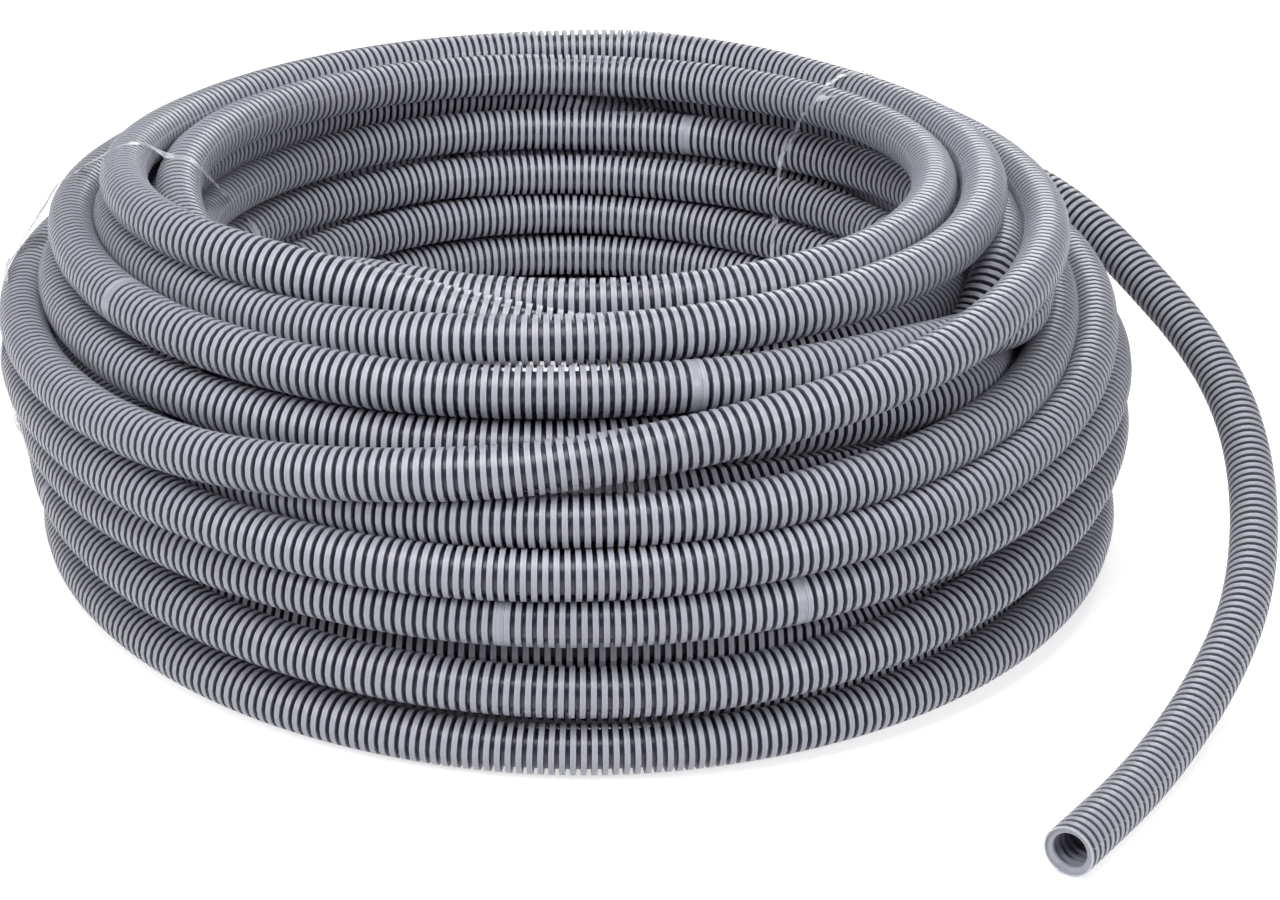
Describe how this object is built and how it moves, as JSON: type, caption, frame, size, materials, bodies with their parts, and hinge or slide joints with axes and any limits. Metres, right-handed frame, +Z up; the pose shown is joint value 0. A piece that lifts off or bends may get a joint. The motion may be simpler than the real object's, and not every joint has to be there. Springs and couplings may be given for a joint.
{
  "type": "coil of corrugated plastic conduit",
  "caption": "Coil of light grey corrugated plastic conduit for cables, lying flat, with a free tail cut square and two clear film ties.",
  "frame": {"origin": "on the floor, under the middle of the part's outline seen from above", "axes": "+Z up, along the coil's axis; the tail comes round the +X side and ends towards -Y"},
  "size_m": [0.5413, 0.5395, 0.1797],
  "materials": {
    "conduit": "satin",
    "film": "clear"
  },
  "bodies": {
    "root": {"conduit_coil": "conduit", "conduit_tail": "conduit", "film_tie_left": "film", "film_tie_back": "film"}
  },
  "joints": []
}
